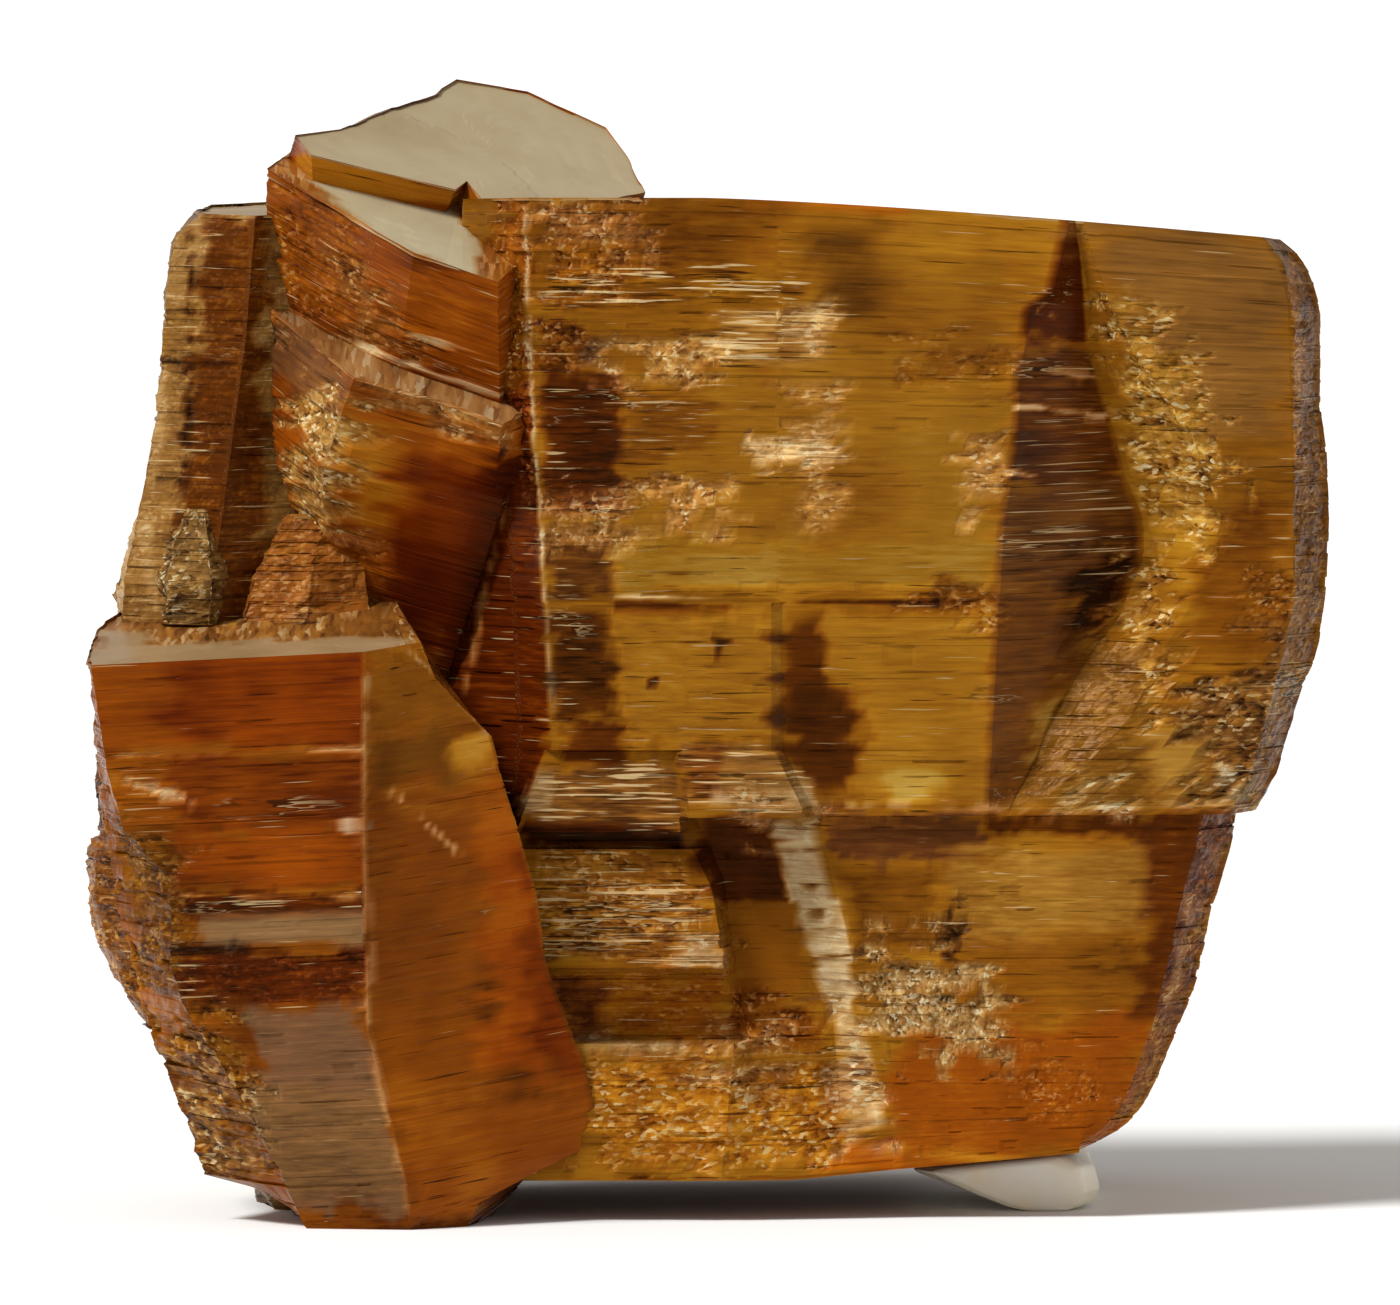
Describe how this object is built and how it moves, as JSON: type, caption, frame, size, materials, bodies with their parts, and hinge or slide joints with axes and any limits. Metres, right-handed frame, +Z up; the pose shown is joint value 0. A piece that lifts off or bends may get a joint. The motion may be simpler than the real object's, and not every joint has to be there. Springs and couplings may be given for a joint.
{
  "type": "phlogopite crystal cluster",
  "caption": "Cluster of intergrown amber-brown phlogopite mica crystals with flat striated faces and stepped cleavage ledges, resting on its lowest crystal.",
  "frame": {"origin": "centre of the cluster's bounding box, at the level of its resting base", "axes": "+X to the right along the cluster's width, +Y away from the large striated front face, +Z up; the front face looks along -Y"},
  "size_m": [0.04, 0.0252, 0.0359],
  "materials": {
    "phlogopite": "vitreous to pearly crystal faces, amber-brown and partly see-through",
    "calcite": "waxy cream"
  },
  "bodies": {
    "root": {"phlogopite_crystal": "phlogopite", "calcite_chip": "calcite"}
  },
  "joints": []
}
